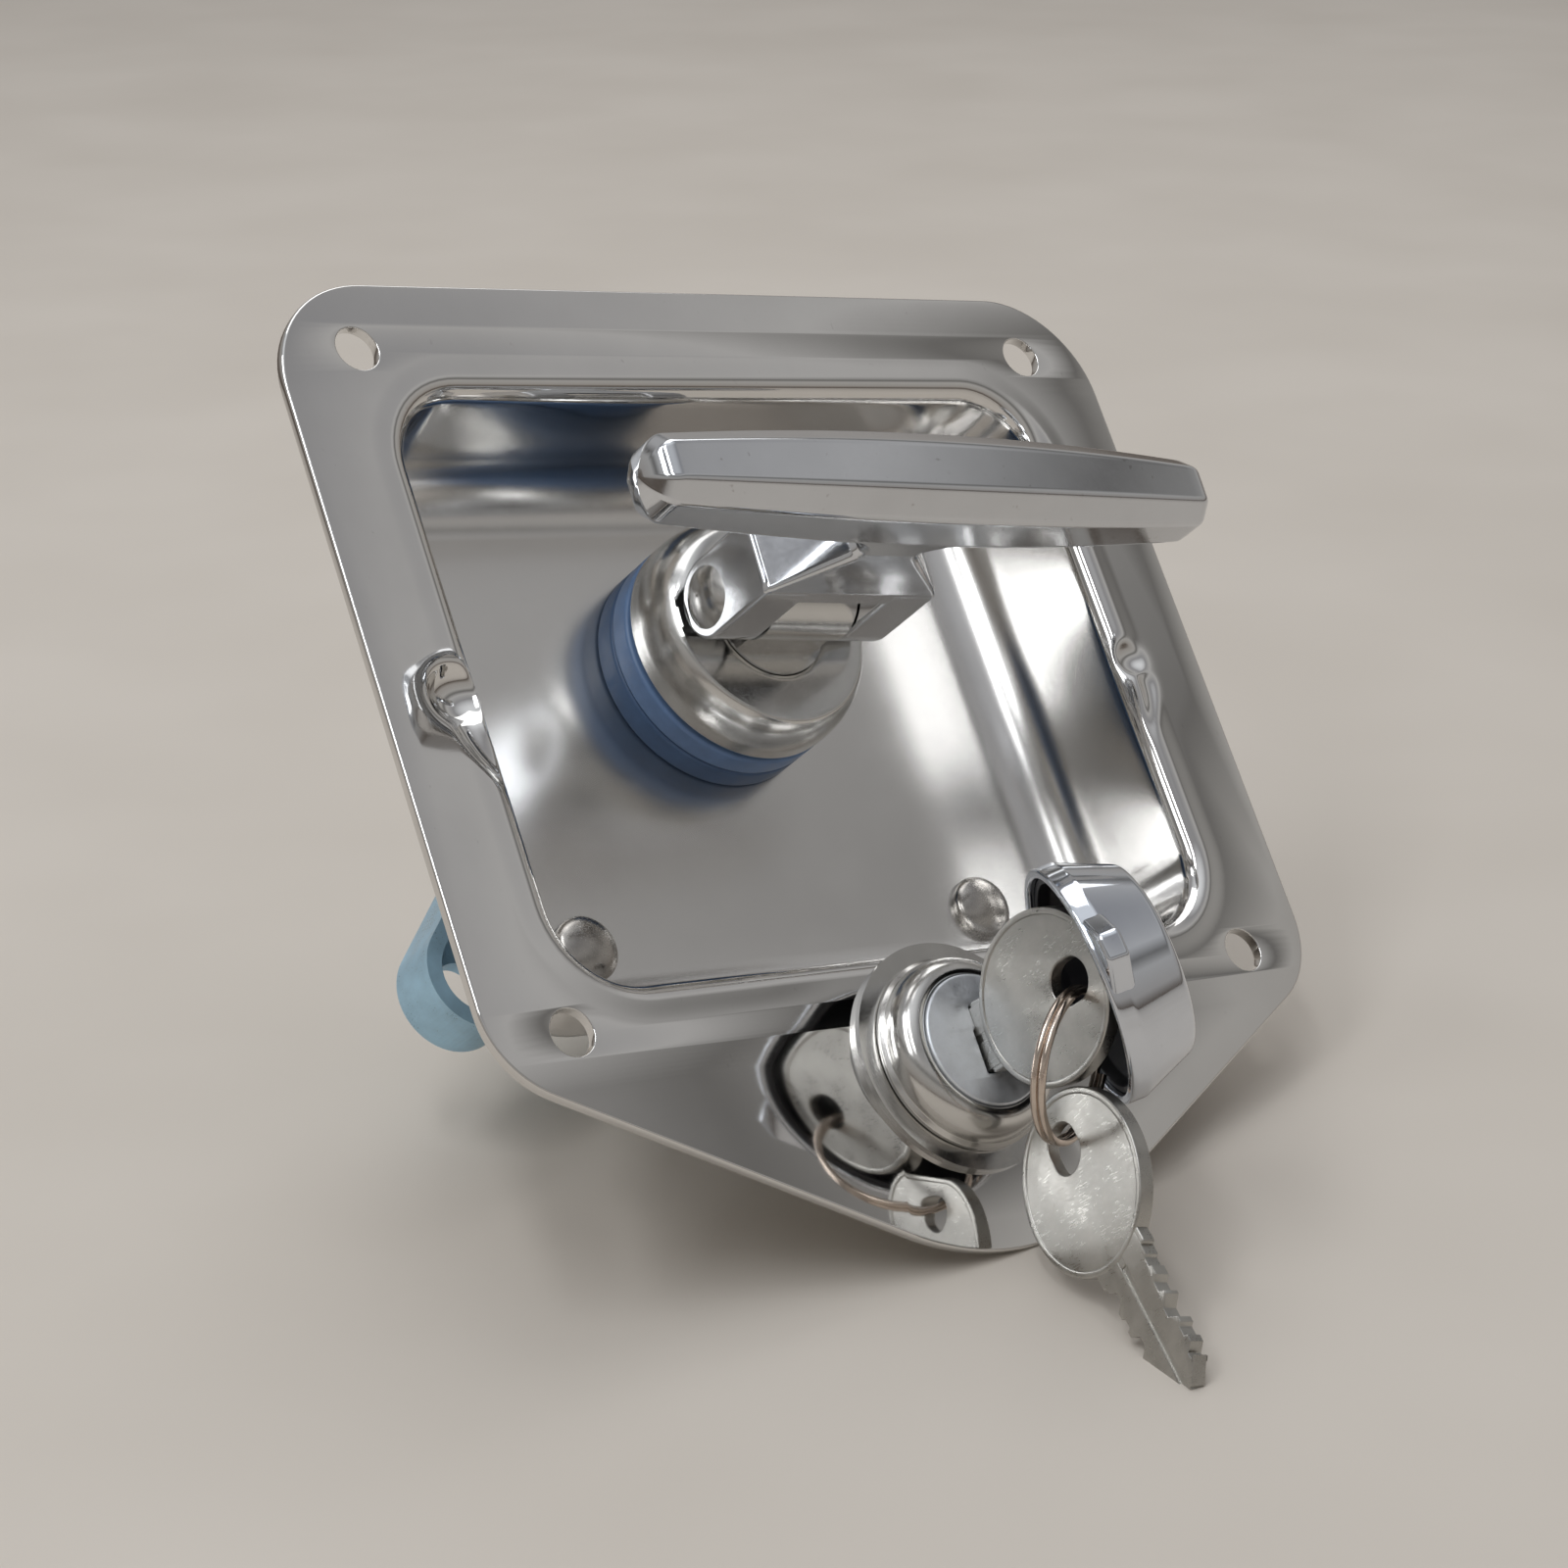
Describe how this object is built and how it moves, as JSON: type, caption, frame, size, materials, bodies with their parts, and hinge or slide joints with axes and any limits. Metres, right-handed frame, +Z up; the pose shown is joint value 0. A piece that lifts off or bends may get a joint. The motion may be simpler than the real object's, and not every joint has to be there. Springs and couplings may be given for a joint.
{
  "type": "t-handle lock",
  "caption": "Flush paddle-pan T-handle lock: pressed steel pan, folding T handle on a quarter-turn spindle, rear latch arm, key lock with hinged weather cap.",
  "frame": {"origin": "centre of the rectangle of the four screw holes, on the back face of the flange (the face that lies on the panel)", "axes": "+X to the right seen from outside, +Z up, -Y out of the panel towards the user"},
  "size_m": [0.1236, 0.091, 0.1501],
  "materials": {
    "tray_steel": "bright pressed stainless, near mirror",
    "rivet_nickel": "dull nickel domes",
    "seal_blue": "satin dark blue",
    "bearing_blue": "satin lighter blue",
    "collar_steel": "polished turned steel",
    "spindle_steel": "polished steel",
    "pin_steel": "polished pin",
    "handle_chrome": "cast and chrome plated",
    "bush_bronze": "plain bearing bronze",
    "rear_zinc": "zinc plated",
    "arm_zinc": "pale blue zinc plating",
    "nut_zinc": "yellow zinc plating",
    "spring_steel": "dark spring steel",
    "guide_black": "black nylon",
    "lock_steel": "polished bezel and ring",
    "plug_zinc": "matte die cast zinc",
    "wafer_brass": "stamped brass",
    "cap_chrome": "bright chrome",
    "liner_black": "black rubber",
    "key_nickel": "worn nickel plating",
    "ring_wire": "warm nickel wire"
  },
  "bodies": {
    "tray": {"tray": "tray_steel", "pan_rivets": "rivet_nickel", "seal_ring": "seal_blue", "bearing_ring": "bearing_blue", "rear_bush": "bush_bronze", "slide_guide": "guide_black", "slide_bracket": "rear_zinc", "lock_body": "lock_steel", "lock_nut": "nut_zinc", "lock_nut_washer": "rear_zinc"},
    "spindle": {"spindle": "spindle_steel", "collar": "collar_steel", "lock_disc": "rear_zinc", "arm_spacer": "rear_zinc", "latch_arm": "arm_zinc", "arm_washer": "rear_zinc", "spring_washer": "spring_steel", "arm_nut": "nut_zinc"},
    "handle": {"t_handle": "handle_chrome", "handle_pin": "pin_steel"},
    "slide": {"lock_slide": "rear_zinc"},
    "plug": {"lock_plug": "plug_zinc", "wafer_tumblers": "wafer_brass", "tail_cam": "rear_zinc", "tail_screw": "spring_steel", "hinge_ring": "lock_steel", "cap_hinge_pin": "pin_steel"},
    "cap": {"weather_cap": "cap_chrome", "cap_liner": "liner_black"},
    "key": {"key_in_lock": "key_nickel"},
    "split_ring": {"key_ring": "ring_wire"},
    "spare": {"spare_key": "key_nickel"}
  },
  "joints": [
    {"name": "handle_turn", "type": "hinge", "parent": "tray", "child": "spindle", "pos_m": [0, 0, 0.0088], "axis": [0, -1, 0], "range_deg": [-90, 0]},
    {"name": "handle_fold", "type": "hinge", "parent": "spindle", "child": "handle", "pos_m": [0, -0.00075, 0.0088], "axis": [0.9986, 0, -0.0523], "range_deg": [0, 90]},
    {"name": "plug_turn", "type": "hinge", "parent": "tray", "child": "plug", "pos_m": [0, 0, -0.051], "axis": [0, 1, 0], "range_deg": [0, 90]},
    {"name": "slide_move", "type": "slide", "parent": "tray", "child": "slide", "axis": [0, 0, 1], "range_m": [0, 0.00708]},
    {"name": "key_pull", "type": "slide", "parent": "plug", "child": "key", "axis": [0, -1, 0], "range_m": [0, 0.02]},
    {"name": "cap_swing", "type": "hinge", "parent": "plug", "child": "cap", "pos_m": [0.0179, -0.008, -0.04912], "axis": [-0.1045, 0, 0.9945], "range_deg": [0, 60]},
    {"name": "ring_turn", "type": "hinge", "parent": "key", "child": "split_ring", "pos_m": [0, -0.01915, -0.05906], "axis": [0.3907, -0.7494, -0.5345], "range_deg": [-12, 6]},
    {"name": "spare_key_swing", "type": "hinge", "parent": "split_ring", "child": "spare", "pos_m": [0, -0.01416, -0.06606], "axis": [-1, 0, 0], "range_deg": [-15, 3]}
  ],
  "couplings": [
    {"joint": "slide_move", "follows": "plug_turn", "m_per_rad": 0.0045016},
    {"joint": "cap_swing", "follows": "key_pull", "rad_per_m": 52.355}
  ]
}
